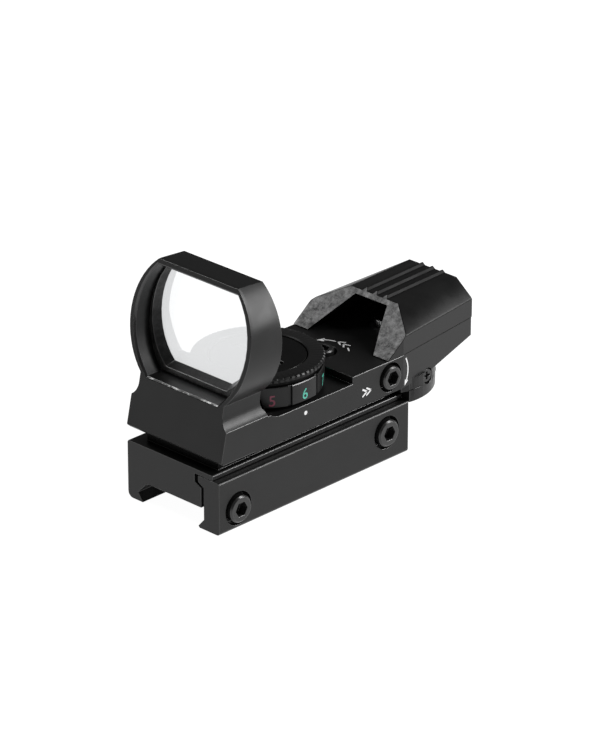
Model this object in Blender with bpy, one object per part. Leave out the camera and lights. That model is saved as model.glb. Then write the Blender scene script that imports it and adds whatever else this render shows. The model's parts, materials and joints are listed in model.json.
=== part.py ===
"""Open reflex red dot sight on a rail clamp base, at rest. Blender 4.5, metres, +Z up.

-Y is the front, where the lens stands, and +X is the side with the clamp screws and the windage screw.
The origin is the centre of the flat seat that rests on the rail. Sizes below are in millimetres, and
MM turns them into metres as each mesh is made.
"""

import math

import bmesh
import bpy
from mathutils import Matrix, Vector

MM = 0.001
GAP = 0.3  # air between two pieces that would touch
SEAM = 0.14  # air between two pieces clamped together

# Rail base: a block with a fixed dovetail jaw on the left and a loose clamp plate on the right.
BASE_HALF_WIDTH = 14.8
BASE_FRONT, BASE_REAR = -30.9, 30.9
BASE_TOP = 9.15
JAW_BOTTOM = -5.2
ROOF_UNDERSIDE = 7.95
PLATE_TOP = 7.75
ROOF_EDGE = 12.7
RAIL_LEFT, RAIL_RIGHT = -11.5, 9.8
PLATEAU_TOP = 10.7
PLATEAU_HALF_WIDTH = 11.4
PLATEAU_FRONT, PLATEAU_REAR = -27.9, 28.4

# Clamp screws, along X: place along Y, height, and sizes shared by both.
CLAMP_SCREWS = {"front": (-24.8, -0.2), "rear": (23.6, 2.2)}
CLAMP_HEAD_RADIUS, CLAMP_SHAFT_RADIUS = 3.3, 1.9
CLAMP_RECESS_RADIUS, CLAMP_RECESS_DEPTH = 4.1, 2.6
CLAMP_HEAD_FACE = 15.8

# Sight body.
BODY_HALF_WIDTH = 15.27
BODY_BOTTOM = 12.0
LOW_DECK, HIGH_DECK = 18.55, 20.3
DECK_STEP = 11.6
FRONT_AT_ZERO, FRONT_SLOPE, FRONT_CHAMFER = -33.10, 0.2058, 0.8
FRAME_REAR, FRAME_LEAN = -14.5, 0.04
BODY_REAR, REAR_LEAN = 55.7, 0.2
TAPER_START, REAR_HALF_WIDTH = 28.5, 11.8
REAR_UNDERSIDE = [(29.0, BODY_BOTTOM), (39.0, 12.6), (41.6, 13.1), (BODY_REAR, 15.85)]

# Lens frame outline: two arcs between a flat top and a narrow neck.
FRAME_TOP = 51.95
FRAME_CENTRE, FRAME_RADIUS, FRAME_OFFSET = 38.3, 17.5, 1.5
NECK_HALF_WIDTH, SCOOP_RADIUS, SCOOP_HEIGHT = 13.4, 3.9, 23.2
FRAME_TOP_DROP = 0.6

# Windows through the frame: (radius, centre height, bottom, top) of each flat-sided oval, and depths
# behind the frame's sloping front.
POCKET = (17.4, 38.4, 25.1, 50.4)
POCKET_CHAMFER, POCKET_DEPTH = 0.4, 7.55
APERTURE = (15.9, 39.6, 27.2, 49.1)
REAR_POCKET, REAR_POCKET_DEPTH = (17.2, 39.0, 27.2, 50.0), 9.2
RETAINER_MOUTH, RETAINER_THROAT = (16.35, 39.6, 26.5, 49.8), (15.65, 40.2, 27.5, 49.1)
RETAINER_FRONT, RETAINER_REAR = 4.3, 6.5
LENS_FRONT, LENS_REAR = 6.7, 7.4

# Brightness dial and the battery inside it, all on one vertical axis.
DIAL_Y = -3.74
DIAL_BOTTOM, PANEL_BOTTOM, PANEL_TOP, KNURL_BOTTOM, DIAL_TOP = 18.95, 19.45, 24.4, 25.6, 26.7
DIAL_PANELS = 11
DIAL_RADIUS, DIAL_NECK, DIAL_BORE = 15.4, 14.3, 11.5
RELIEF_FOOT, RELIEF_HEAD = (18.8, 19.75), (18.2, 26.5)  # radius and height
CUP_RADIUS, CUP_BORE = 11.2, 10.4
CUP_TOP = 24.2
DETENT_Y = 9.86

# Hood: a shell over the rear whose mouth is cut on a slant.
HOOD_CUT_Y, HOOD_CUT_Z, HOOD_CUT_SLOPE = 23.7, 20.7, 1.35
HOOD_EDGE_Z, HOOD_EDGE_SLOPE, HOOD_EDGE_Y = 25.07, 0.008, 29.5
HOOD_TOP_Z, HOOD_TOP_SLOPE, HOOD_TOP_Y = 29.0, 0.028, 35.0
HOOD_TOP_HALF = 7.5
RIB_PLACES, RIB_HALF, RIB_HEIGHT = (-3.2, 0.0, 3.2), 0.7, 0.6
MOUTH_FLOOR_HALF, MOUTH_TOP_HALF, MOUTH_REAR = 10.7, 5.0, 49.6
HOOD_SCREW_X, HOOD_SCREW_Y = 6.5, 52.3

# Adjusters.
WINDAGE_Y, WINDAGE_Z = 24.2, 16.2
ELEVATION_Y = 17.2
ADJUSTER_RECESS, ADJUSTER_HEAD, ADJUSTER_SHAFT = 3.6, 2.9, 1.3
ADJUSTER_RISE, ADJUSTER_HEAD_LENGTH = 0.9, 3.4
PIVOT_Y, HINGE_Y, HINGE_Z = -20.8, -25.6, 14.2

# Reticle selector: a round boss under the rear, with a drum inside it and a lever behind it.
BOSS_Y, BOSS_RADIUS, BOSS_BOTTOM, BOSS_FRONT = 33.9, 15.0, 7.3, 31.25
BOSS_SHOULDER, BOSS_NECK_INSET = 13.25, 1.0
SHELF_FRONT, SHELF_BOTTOM = 29.0, 10.3
SELECTOR_Y = 39.0
DRUM_RADIUS, BUSH_INNER, BUSH_OUTER, BUSH_BORE = 4.2, 4.4, 5.6, 5.9
LEVER_Z = 11.8
LEVER_SLOT, LEVER_SLOT_HALF = (-56.0, 36.0), 1.1
BOSS_SCREW_Y, BOSS_SCREW_Z = 38.0, 11.7

CHANNELS = {"X": (1, 2), "Y": (0, 2), "Z": (0, 1)}


def clear_scene():
    for obj in list(bpy.data.objects):
        bpy.data.objects.remove(obj)


def material(name, colour, roughness, metallic):
    """A Principled material, made once for each name."""
    made = bpy.data.materials.get(name) or bpy.data.materials.new(name)
    made.use_nodes = True
    shader = made.node_tree.nodes["Principled BSDF"]
    shader.inputs["Base Color"].default_value = (*colour, 1.0)
    shader.inputs["Roughness"].default_value = roughness
    shader.inputs["Metallic"].default_value = metallic
    made.diffuse_color = (*colour, 1.0)
    return made


def materials():
    return {
        "body": material("black_anodised", (0.030, 0.030, 0.031), 0.42, 0.6),
        "cut": material("blasted_black", (0.060, 0.060, 0.060), 0.7, 0.4),
        "screw": material("black_screw", (0.045, 0.045, 0.046), 0.32, 0.9),
        "steel": material("bright_steel", (0.60, 0.60, 0.60), 0.25, 1.0),
        "brass": material("brass", (0.70, 0.50, 0.22), 0.30, 1.0),
        "glass": material("coated_glass", (0.85, 0.88, 0.90), 0.03, 0.0),
        "rubber": material("black_rubber", (0.020, 0.020, 0.020), 0.8, 0.0),
        "plastic": material("black_plastic", (0.035, 0.035, 0.037), 0.5, 0.0),
        "board": material("circuit_board", (0.03, 0.22, 0.10), 0.5, 0.0),
        "led": material("red_led", (0.75, 0.04, 0.03), 0.2, 0.0),
        "wire": material("red_wire", (0.55, 0.05, 0.04), 0.5, 0.0),
    }


def in_metres(x, y, z):
    return Vector((x * MM, y * MM, z * MM))


def finish(name, mesh_data, slot, smooth=30.0):
    """An object from a bmesh, with its faces out and its round sides smooth."""
    bmesh.ops.recalc_face_normals(mesh_data, faces=mesh_data.faces)
    if mesh_data.calc_volume(signed=True) < 0:
        bmesh.ops.reverse_faces(mesh_data, faces=mesh_data.faces)
    mesh = bpy.data.meshes.new(name)
    mesh_data.to_mesh(mesh)
    mesh_data.free()
    obj = bpy.data.objects.new(name, mesh)
    bpy.context.scene.collection.objects.link(obj)
    if slot:
        mesh.materials.append(slot)
    mesh.shade_smooth()
    mesh.set_sharp_from_angle(angle=math.radians(smooth))
    return obj


def skin(name, loops, slot=None, ring=False):
    """A closed solid through loops of equal length. ring joins the last loop to the first."""
    made = bmesh.new()
    rows = [[made.verts.new(in_metres(*point)) for point in loop] for loop in loops]
    pairs = list(zip(rows, rows[1:]))
    if ring:
        pairs.append((rows[-1], rows[0]))
    for low, high in pairs:
        for i, _ in enumerate(low):
            j = (i + 1) % len(low)
            made.faces.new((low[i], low[j], high[j], high[i]))
    if not ring:
        made.faces.new(rows[0][::-1])
        made.faces.new(rows[-1])
    return finish(name, made, slot)


def prism(name, outline, axis, low, high, slot=None):
    """A 2-D outline pushed along an axis. The ends are numbers, or functions of the outline's point."""
    first, second = CHANNELS[axis]
    along = 3 - first - second
    loops = []
    for end in (low, high):
        loop = []
        for point in outline:
            place = [0.0, 0.0, 0.0]
            place[first], place[second] = point
            place[along] = end(*point) if callable(end) else end
            loop.append(place)
        loops.append(loop)
    return skin(name, loops, slot)


def box(name, x, y, z, slot=None):
    outline = [(x[0], y[0]), (x[1], y[0]), (x[1], y[1]), (x[0], y[1])]
    return prism(name, outline, "Z", z[0], z[1], slot)


def arc(centre, radius, start, end, count):
    """Points on an arc, both ends included. Angles are in degrees from the outline's first axis."""
    points = []
    for i in range(count + 1):
        angle = math.radians(start + (end - start) * i / count)
        points.append((centre[0] + radius * math.cos(angle), centre[1] + radius * math.sin(angle)))
    return points


def circle(radius):
    return lambda angle: radius


def hexagon(apothem):
    return lambda angle: apothem / math.cos((angle % (math.pi / 3)) - math.pi / 6)


def cross(length, half_width):
    """The radius of a plus-shaped recess at an angle."""

    def radius(angle):
        fold = abs((angle + math.pi / 4) % (math.pi / 2) - math.pi / 4)
        return min(length / math.cos(fold), half_width / max(math.sin(fold), 1e-6))

    return radius


def turned(name, profile, centre, axis="Z", count=32, slot=None, ring=False):
    """A solid of revolution. The profile is (radius or radius function, place along the axis)."""
    first, second = CHANNELS[axis]
    along = 3 - first - second
    loops = []
    for radius, place in profile:
        shape = radius if callable(radius) else circle(radius)
        loop = []
        for i in range(count):
            angle = 2 * math.pi * i / count
            point = [0.0, 0.0, 0.0]
            point[first] = centre[0] + shape(angle) * math.cos(angle)
            point[second] = centre[1] + shape(angle) * math.sin(angle)
            point[along] = place
            loop.append(point)
        loops.append(loop)
    return skin(name, loops, slot, ring)


def drum(name, radius, centre, axis, low, high, slot=None, count=32, edge=0.0):
    """A plain round solid, with its two rims chamfered by edge."""
    profile = [(radius - edge, low), (radius, low + edge), (radius, high - edge), (radius - edge, high)]
    if not edge:
        profile = [(radius, low), (radius, high)]
    return turned(name, profile, centre, axis, count, slot)


def tube(name, inner, outer, centre, axis, low, high, slot=None, count=48):
    profile = [(outer, low), (outer, high), (inner, high), (inner, low)]
    return turned(name, profile, centre, axis, count, slot, ring=True)


def sweep(name, path, radius, slot, sides=6):
    """A round wire along a list of points, closed at both ends."""
    points = [Vector(point) for point in path]
    loops = []
    across = Vector((0.31, 0.17, 0.94))
    for i, point in enumerate(points):
        ahead = points[min(i + 1, len(points) - 1)] - points[max(i - 1, 0)]
        ahead.normalize()
        side = (across - ahead * across.dot(ahead)).normalized()
        across = side
        other = ahead.cross(side)
        turn = [2 * math.pi * k / sides for k in range(sides)]
        loops.append([point + radius * (side * math.cos(a) + other * math.sin(a)) for a in turn])
    return skin(name, loops, slot)


def coil(name, centre, radius, low, high, turns, wire, slot):
    """A compression spring about a vertical axis, with its wire inside low and high."""
    steps = turns * 10
    path = []
    for i in range(steps + 1):
        angle = 2 * math.pi * turns * i / steps
        height = low + wire + (high - low - 2 * wire) * i / steps
        path.append((centre[0] + radius * math.cos(angle), centre[1] + radius * math.sin(angle), height))
    return sweep(name, path, wire, slot, sides=5)


def combine(target, helper, operation):
    """Joins or cuts with a helper, which stays in the scene as a hidden wire."""
    step = target.modifiers.new(f"{operation.lower()}_{helper.name}", "BOOLEAN")
    step.operation = operation
    step.object = helper
    step.solver = "EXACT"
    helper.hide_render = True
    helper.display_type = "WIRE"


def cut(target, *helpers):
    for helper in helpers:
        combine(target, helper, "DIFFERENCE")


def fuse(target, *helpers):
    for helper in helpers:
        combine(target, helper, "UNION")


def on_axis(obj, x, y, z):
    """Moves an object's origin to a point and leaves its shape where it is."""
    origin = in_metres(x, y, z)
    obj.data.transform(Matrix.Translation(-origin))
    obj.location = origin


def front_face(z):
    """The sloping front plane of the sight, along Y, at a height."""
    return FRONT_AT_ZERO + FRONT_SLOPE * z


def flat_oval(radius, centre, bottom, top, count=12):
    """A round window with a flat top and a flat bottom, in X and Z."""
    low = math.degrees(math.asin((bottom - centre) / radius))
    high = math.degrees(math.asin((top - centre) / radius))
    right = arc((0.0, centre), radius, low, high, count)
    return right + [(-x, z) for x, z in reversed(right)]


def rail_base(looks):
    section = arc((-BASE_HALF_WIDTH + 1.5, JAW_BOTTOM + 1.5), 1.5, 180, 270, 4)
    section += [(-10.0, JAW_BOTTOM), (RAIL_LEFT, -3.0), (-9.0, -0.5), (-7.7, 0.0)]
    section += [(9.0, 0.0), (9.0, 5.0), (6.9, 6.0), (6.9, ROOF_UNDERSIDE), (ROOF_EDGE, ROOF_UNDERSIDE)]
    section += [(ROOF_EDGE, BASE_TOP - 0.25), (ROOF_EDGE - 0.25, BASE_TOP)]
    section += [(-BASE_HALF_WIDTH + 0.4, BASE_TOP), (-BASE_HALF_WIDTH, BASE_TOP - 0.4)]
    base = prism("rail_base", section, "Y", BASE_FRONT, BASE_REAR, looks["body"])
    plateau = box(
        "base_plateau",
        (-PLATEAU_HALF_WIDTH, PLATEAU_HALF_WIDTH),
        (PLATEAU_FRONT, PLATEAU_REAR),
        (BASE_TOP - 1.0, PLATEAU_TOP),
    )
    fuse(base, plateau)
    for side, (y, z) in CLAMP_SCREWS.items():
        cut(base, drum(f"base_{side}_hole", CLAMP_SHAFT_RADIUS + GAP, (y, z), "X", -12.6, 20.0, count=24))
    pivot_hole = drum("base_pivot_hole", 2.2, (0, PIVOT_Y), "Z", 3.0, 12.0, count=24)
    nut_pocket = box("base_nut_pocket", (-4.1, 4.1), (ELEVATION_Y - 4.1, ELEVATION_Y + 4.1), (7.6, 12.0))
    shaft_hole = drum("base_shaft_hole", 2.6, (0, ELEVATION_Y), "Z", 2.5, 9.0, count=24)
    post_hole = box("base_post_hole", (-1.9, 1.9), (WINDAGE_Y - 2.5, WINDAGE_Y + 2.5), (5.2, 12.0))
    cut(base, pivot_hole, nut_pocket, shaft_hole, post_hole)
    return base


def clamp_plate(looks):
    section = [(RAIL_RIGHT - 1.8, JAW_BOTTOM + 0.45), (RAIL_RIGHT - 1.4, JAW_BOTTOM)]
    section += arc((BASE_HALF_WIDTH - 0.8, JAW_BOTTOM + 0.8), 0.8, 270, 360, 3)
    section += [(BASE_HALF_WIDTH, PLATE_TOP - 0.25), (BASE_HALF_WIDTH - 0.25, PLATE_TOP)]
    section += [(ROOF_EDGE, ROOF_UNDERSIDE - SEAM), (8.0, ROOF_UNDERSIDE - SEAM), (8.0, 6.2)]
    section += [(RAIL_RIGHT, 5.2), (RAIL_RIGHT, -2.7)]
    plate = prism("clamp_plate", section, "Y", BASE_FRONT, BASE_REAR, looks["body"])
    for side, (y, z) in CLAMP_SCREWS.items():
        floor = BASE_HALF_WIDTH - CLAMP_RECESS_DEPTH
        steps = [(CLAMP_SHAFT_RADIUS + GAP, 5.0), (CLAMP_SHAFT_RADIUS + GAP, floor)]
        steps += [(CLAMP_RECESS_RADIUS, floor), (CLAMP_RECESS_RADIUS, 18.0)]
        cut(plate, turned(f"plate_{side}_recess", steps, (y, z), "X", 32))
    return plate


def socket_screw(name, axis, centre, face, head, shaft, socket, slot, count=24):
    """A screw along an axis with its drive recess in the face. head and shaft are (radius, length)."""
    recess, depth = socket
    edge = 0.12 * head[0]
    foot = face - head[1] - shaft[1]
    profile = [(0.7 * shaft[0], foot), (shaft[0], foot + 0.4 * shaft[0]), (shaft[0], face - head[1])]
    profile += [(head[0], face - head[1]), (head[0], face - edge), (head[0] - edge, face)]
    profile += [(recess, face), (recess, face - depth)]
    screw = turned(name, profile, centre, axis, count, slot)
    first, second = CHANNELS[axis]
    origin = [0.0, 0.0, 0.0]
    origin[first], origin[second] = centre
    origin[3 - first - second] = face
    on_axis(screw, *origin)
    return screw


def clamp_screws(looks):
    for side, (y, z) in CLAMP_SCREWS.items():
        head = (CLAMP_HEAD_RADIUS, 3.3)
        socket = (hexagon(1.6), 2.2)
        shaft = (CLAMP_SHAFT_RADIUS, 24.0)
        name = f"clamp_screw_{side}"
        socket_screw(name, "X", (y, z), CLAMP_HEAD_FACE, head, shaft, socket, looks["screw"])


def base_internals(looks):
    """The yaw pivot, the windage post and the floating nut, which tie the sight to its base."""
    pivot = [(1.9, 3.4), (1.9, 14.9), (2.9, 14.9), (2.9, 16.3), (hexagon(1.2), 16.3), (hexagon(1.2), 15.5)]
    turned("pivot_screw", pivot, (0, PIVOT_Y), "Z", 24, looks["steel"])
    post = box(
        "windage_post", (-1.6, 1.6), (WINDAGE_Y - 2.2, WINDAGE_Y + 2.2), (5.5, 18.0), looks["steel"]
    )
    fork = box("post_fork", (-3.0, 3.0), (WINDAGE_Y - 1.6, WINDAGE_Y + 1.6), (WINDAGE_Z - 2.4, 20.0))
    cut(post, fork)
    nut = box(
        "elevation_nut", (-3.0, 3.0), (ELEVATION_Y - 3.0, ELEVATION_Y + 3.0), (7.9, 10.3), looks["steel"]
    )
    cut(nut, drum("nut_bore", ADJUSTER_SHAFT + 0.25, (0, ELEVATION_Y), "Z", 6.0, 12.0, count=24))
    block = box("pivot_block", (-6.0, 6.0), (-28.0, -17.7), (PLATEAU_TOP + GAP, 16.8), looks["body"])
    bore = [(2.2, 9.0), (2.2, 14.6), (3.2, 14.6), (3.2, 18.0)]
    cut(block, turned("block_bore", bore, (0, PIVOT_Y), "Z", 24))
    cut(block, drum("block_hinge_bore", 1.35, (HINGE_Y, HINGE_Z), "X", -9.0, 9.0, count=24))
    drum("pivot_pin", 1.2, (HINGE_Y, HINGE_Z), "X", -14.7, 9.4, looks["steel"], 24, 0.2)


def frame_outline():
    """Front view of the lens frame and the shoulders it stands on, in X and Z."""
    reach = math.degrees(math.asin((FRAME_TOP - FRAME_CENTRE) / FRAME_RADIUS))
    foot = -math.degrees(math.acos((NECK_HALF_WIDTH - FRAME_OFFSET) / FRAME_RADIUS))
    side = arc((FRAME_OFFSET, FRAME_CENTRE), FRAME_RADIUS, foot, reach, 20)
    scoop_centre = NECK_HALF_WIDTH + SCOOP_RADIUS
    low = math.degrees(math.acos((BODY_HALF_WIDTH - 0.1 - scoop_centre) / SCOOP_RADIUS))
    scoop = arc((scoop_centre, SCOOP_HEIGHT), SCOOP_RADIUS, -low, -180, 8)
    edge = [(BODY_HALF_WIDTH - 0.3, BODY_BOTTOM), (BODY_HALF_WIDTH, BODY_BOTTOM + 0.3)]
    right = edge + [(BODY_HALF_WIDTH, scoop[0][1] - 0.1)] + scoop + side
    return right + [(-x, z) for x, z in reversed(right)]


def frame_block(name, slot):
    """The lens frame with its shoulders: sloping in front, upright behind, its top falling to the rear."""
    outline = frame_outline()
    front = [(x, front_face(z), max(z, BODY_BOTTOM + FRONT_CHAMFER)) for x, z in outline]
    behind = [(x, front_face(z) + FRONT_CHAMFER, z) for x, z in outline]
    lean = FRAME_TOP - FRAME_CENTRE + FRAME_RADIUS
    rear = []
    for x, z in outline:
        drop = FRAME_TOP_DROP * max(0.0, z - SCOOP_HEIGHT) / lean
        rear.append((x, FRAME_REAR - FRAME_LEAN * (FRAME_TOP - z), z - drop))
    return skin(name, [front, behind, rear], slot)


def half_width(y):
    """Half the width of the sight's upright sides, which narrow towards the rear."""
    share = max(0.0, y - TAPER_START) / (BODY_REAR - TAPER_START)
    return BODY_HALF_WIDTH + share * (REAR_HALF_WIDTH - BODY_HALF_WIDTH)


def deck_slab(name):
    """The body behind the frame, cut to its side view, in Y and Z, and narrowed to the rear."""
    profile = [(-20.0, BODY_BOTTOM)] + REAR_UNDERSIDE + [(BODY_REAR, HIGH_DECK), (DECK_STEP, HIGH_DECK)]
    profile += [(DECK_STEP, LOW_DECK), (-20.0, LOW_DECK)]
    slab = prism(name, profile, "X", -BODY_HALF_WIDTH, BODY_HALF_WIDTH)
    right = [(half_width(y), y) for y in (-25.0, TAPER_START, BODY_REAR - 0.3)]
    right.append((REAR_HALF_WIDTH - 0.3, BODY_REAR))
    plan = prism("body_plan", right + [(-x, y) for x, y in reversed(right)], "Z", 0.0, 60.0)
    combine(slab, plan, "INTERSECT")
    return slab


def shoulder_end(name, side):
    """The strip beside the dial that carries a shoulder's top edge down to the low deck in a soft curve."""
    fall = [(-17.0, 19.6), (-14.9, 19.6), (-14.2, 19.25), (-13.4, 18.9), (-12.4, 18.65), (-11.2, LOW_DECK)]
    outline = [(-17.0, 17.0)] + fall + [(-11.2, 17.0)]
    return prism(name, outline, "X", side * 12.5, side * BODY_HALF_WIDTH)


def dial_relief(name, side):
    """A wedge that clears the dial's rim at one side of the neck, wider at its foot."""
    loops = []
    for radius, z in (RELIEF_FOOT, RELIEF_HEAD):
        rim = arc((0.0, DIAL_Y), radius, -52, -10, 8)
        loops.append([(side * x, y, z) for x, y in rim + [(11.0, DIAL_Y)]])
    return skin(name, loops)


def boss_outline(front):
    reach = math.degrees(math.asin((BOSS_Y - front) / BOSS_RADIUS))
    return arc((0.0, BOSS_Y), BOSS_RADIUS, -reach, 180 + reach, 36)


def boss_solids():
    """The round boss: a foot, a shelf over the base's rear end, and a neck set in from the sides."""
    foot = prism("boss_foot", boss_outline(BOSS_FRONT), "Z", BOSS_BOTTOM, BOSS_SHOULDER)
    shelf = prism("boss_shelf", boss_outline(SHELF_FRONT), "Z", SHELF_BOTTOM, BOSS_SHOULDER - 0.2)
    inside = []
    for x, y in boss_outline(BOSS_FRONT):
        wide = half_width(y) - BOSS_NECK_INSET
        inside.append((max(-wide, min(wide, x)), y))
    neck = prism("boss_neck", inside, "Z", BOSS_SHOULDER - 0.5, 18.0)
    return foot, shelf, neck


def sight_body(looks):
    body = frame_block("sight_body", looks["body"])
    fuse(body, deck_slab("body_deck"), *boss_solids())
    for side, word in ((1, "right"), (-1, "left")):
        fuse(body, shoulder_end(f"shoulder_end_{word}", side))
        cut(body, dial_relief(f"dial_relief_{word}", side))
    mouth = at_depth(flat_oval(*grown(POCKET, 1.5 * POCKET_CHAMFER)), -0.5 * POCKET_CHAMFER)
    pocket = [at_depth(flat_oval(*POCKET), depth) for depth in (POCKET_CHAMFER, POCKET_DEPTH)]
    cut(body, skin("frame_pocket", [mouth, *pocket]))
    cut(body, prism("frame_aperture", flat_oval(*APERTURE), "Y", -30.0, 0.0))
    cut(body, prism("frame_rear_pocket", flat_oval(*REAR_POCKET), "Y", depth_face(REAR_POCKET_DEPTH), 0.0))
    dial_room = [(DIAL_RADIUS + 0.3, LOW_DECK), (DIAL_RADIUS + 0.3, DIAL_TOP + 0.4)]
    cut(body, turned("dial_room", dial_room, (0, DIAL_Y), "Z", 66))
    cut(body, drum("board_pocket", 11.6, (0, DIAL_Y), "Z", 15.2, 20.0, count=48))
    cut(body, drum("detent_bore", 1.0, (0, DETENT_Y), "Z", 14.6, 19.5, count=16))
    cut(body, box("pivot_pocket", (-6.5, 6.5), (-28.5, -17.2), (10.0, 17.3)))
    cut(body, drum("hinge_bore", 1.35, (HINGE_Y, HINGE_Z), "X", -17.0, 9.9, count=24))
    cut_adjusters(body)
    cut_selector(body)
    cut(body, box("cable_groove", (-8.9, -7.1), (2.0, 29.8), (11.0, 13.7)))
    cut(body, drum("cable_hole_front", 0.9, (-8.0, 3.0), "Z", 13.0, 16.0, count=16))
    cut(body, drum("cable_hole_middle", 0.9, (-8.0, 28.8), "Z", 13.0, 17.6, count=16))
    cut(body, drum("cable_hole_long", 0.85, (-8.0, 16.7), "Y", 28.3, 47.8, count=12))
    cut(body, drum("cable_hole_across", 0.85, (47.0, 16.7), "X", -8.6, 0.8, count=12))
    cut(body, drum("cable_hole_rear", 0.9, (0.0, 47.0), "Z", 16.0, 22.0, count=16))
    for sign, side in ((-1, "left"), (1, "right")):
        steps = [(1.9, 12.0), (1.9, 18.2), (1.1, 18.2), (1.1, 24.0)]
        cut(body, turned(f"hood_bore_{side}", steps, (sign * HOOD_SCREW_X, HOOD_SCREW_Y), "Z", 20))
    return body


def cut_adjusters(body):
    floor = ADJUSTER_RISE - ADJUSTER_HEAD_LENGTH - GAP
    low = HIGH_DECK + floor
    elevation = [(ADJUSTER_SHAFT + GAP, 10.0), (ADJUSTER_SHAFT + GAP, low), (ADJUSTER_RECESS, low)]
    elevation += [(ADJUSTER_RECESS, 24.0)]
    cut(body, turned("elevation_bore", elevation, (0, ELEVATION_Y), "Z", 32))
    cut(body, drum("spring_pocket", 3.9, (0, ELEVATION_Y), "Z", 10.0, 14.6, count=24))
    low = BODY_HALF_WIDTH + floor
    windage = [(ADJUSTER_SHAFT + GAP, -9.0), (ADJUSTER_SHAFT + GAP, low), (ADJUSTER_RECESS, low)]
    windage += [(ADJUSTER_RECESS, 20.0)]
    cut(body, turned("windage_bore", windage, (WINDAGE_Y, WINDAGE_Z), "X", 32))
    cut(body, box("post_pocket", (-3.6, 3.6), (WINDAGE_Y - 2.7, WINDAGE_Y + 2.7), (10.0, 19.1)))


def cut_selector(body):
    bore = [(6.5, 5.0), (6.5, BOSS_BOTTOM + 1.4), (BUSH_BORE, BOSS_BOTTOM + 1.4), (BUSH_BORE, 18.3)]
    bore += [(DRUM_RADIUS + GAP, 18.3), (DRUM_RADIUS + GAP, 24.0)]
    cut(body, turned("bush_bore", bore, (0, SELECTOR_Y), "Z", 40))
    cut(body, lever_slot("boss_slot", 20.0))
    for sign, side in ((1, "right"), (-1, "left")):
        steps = [(1.1, 4.0 * sign), (1.1, 12.6 * sign), (1.95, 12.6 * sign), (1.95, 20.0 * sign)]
        cut(body, turned(f"boss_screw_bore_{side}", steps, (BOSS_SCREW_Y, BOSS_SCREW_Z), "X", 24))


def lever_slot(name, reach):
    """A flat wedge behind the drum's axis, as wide as the lever swings."""
    start, end = (90 + angle for angle in LEVER_SLOT)
    outline = [(0.0, SELECTOR_Y - 0.5)] + arc((0.0, SELECTOR_Y), reach, start, end, 8)
    return prism(name, outline, "Z", LEVER_Z - LEVER_SLOT_HALF, LEVER_Z + LEVER_SLOT_HALF)


def depth_face(depth):
    """A plane parallel to the sight's front, at a depth behind it."""
    return lambda x, z: front_face(z) + depth


def at_depth(outline, depth):
    """An outline in X and Z laid on the plane at a depth behind the sight's front."""
    return [(x, front_face(z) + depth, z) for x, z in outline]


def grown(window, by):
    radius, centre, bottom, top = window
    return radius + by, centre, bottom - by, top + by


def lens(looks):
    outline = flat_oval(*grown(POCKET, -GAP))
    prism("lens", outline, "Y", depth_face(LENS_FRONT), depth_face(LENS_REAR), looks["glass"])
    loops = [at_depth(outline, RETAINER_FRONT), at_depth(outline, RETAINER_REAR)]
    loops.append(at_depth(flat_oval(*RETAINER_THROAT), RETAINER_REAR))
    loops.append(at_depth(flat_oval(*RETAINER_MOUTH), RETAINER_FRONT))
    skin("lens_retainer", loops, looks["plastic"], ring=True)


def dial_panels(apothem):
    """Radius of the ring of nearly flat number panels, with the first panel's middle at +X."""
    pitch = 2 * math.pi / DIAL_PANELS

    def radius(angle):
        away = (angle + pitch / 2) % pitch - pitch / 2
        return min(apothem / math.cos(away), apothem + 0.28)

    return radius


def brightness_dial(looks):
    panels = dial_panels(DIAL_RADIUS - 0.4)
    profile = [(DIAL_BORE, DIAL_BOTTOM), (DIAL_NECK, DIAL_BOTTOM), (DIAL_NECK, PANEL_BOTTOM)]
    profile += [(panels, PANEL_BOTTOM), (panels, PANEL_TOP), (14.5, PANEL_TOP), (14.5, KNURL_BOTTOM)]
    profile += [(DIAL_RADIUS, KNURL_BOTTOM), (DIAL_RADIUS, DIAL_TOP - 0.4), (DIAL_RADIUS - 0.5, DIAL_TOP)]
    profile += [(DIAL_BORE, DIAL_TOP), (DIAL_BORE, 21.9), (12.4, 21.9), (12.4, 20.7), (DIAL_BORE, 20.7)]
    dial = turned("brightness_dial", profile, (0, DIAL_Y), "Z", 55, looks["body"], ring=True)
    on_axis(dial, 0, DIAL_Y, 0)
    tube("dial_snap_ring", CUP_RADIUS + 0.2, 12.1, (0, DIAL_Y), "Z", 20.95, 21.65, looks["steel"], 32)
    ball("dial_detent_ball", (0, DETENT_Y, 17.95), 0.75, looks["steel"])
    coil("dial_detent_spring", (0, DETENT_Y), 0.6, 14.8, 17.0, 3, 0.15, looks["steel"])


def ball(name, centre, radius, slot):
    made = bmesh.new()
    bmesh.ops.create_icosphere(made, subdivisions=2, radius=radius * MM)
    bmesh.ops.translate(made, vec=in_metres(*centre), verts=made.verts)
    return finish(name, made, slot)


def battery_parts(looks):
    centre = (0, DIAL_Y)
    drum("switch_board", 11.2, centre, "Z", 15.5, 16.5, looks["board"], 40)
    cup = [(CUP_RADIUS, 16.8), (CUP_RADIUS, CUP_TOP), (CUP_BORE, CUP_TOP), (CUP_BORE, 17.7)]
    turned("battery_cup", cup, centre, "Z", 48, looks["plastic"])
    coil("contact_spring", centre, 3.2, 18.0, 20.6, 3, 0.3, looks["brass"])
    battery = [(8.6, 20.9), (8.6, 21.2), (10.0, 21.3), (10.0, 24.0), (9.7, 24.1)]
    turned("battery", battery, centre, "Z", 40, looks["steel"])
    tube("cap_seal", 10.35, 10.95, centre, "Z", 24.45, 24.95, looks["rubber"], 40)
    cap = [(10.0, 24.4), (10.0, 25.2), (11.0, 25.2), (CUP_RADIUS, 25.4), (CUP_RADIUS, 26.3), (10.9, 26.45)]
    lid = turned("battery_cap", cap, centre, "Z", 48, looks["body"])
    cut(lid, coin_slot("coin_slot"))


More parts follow.
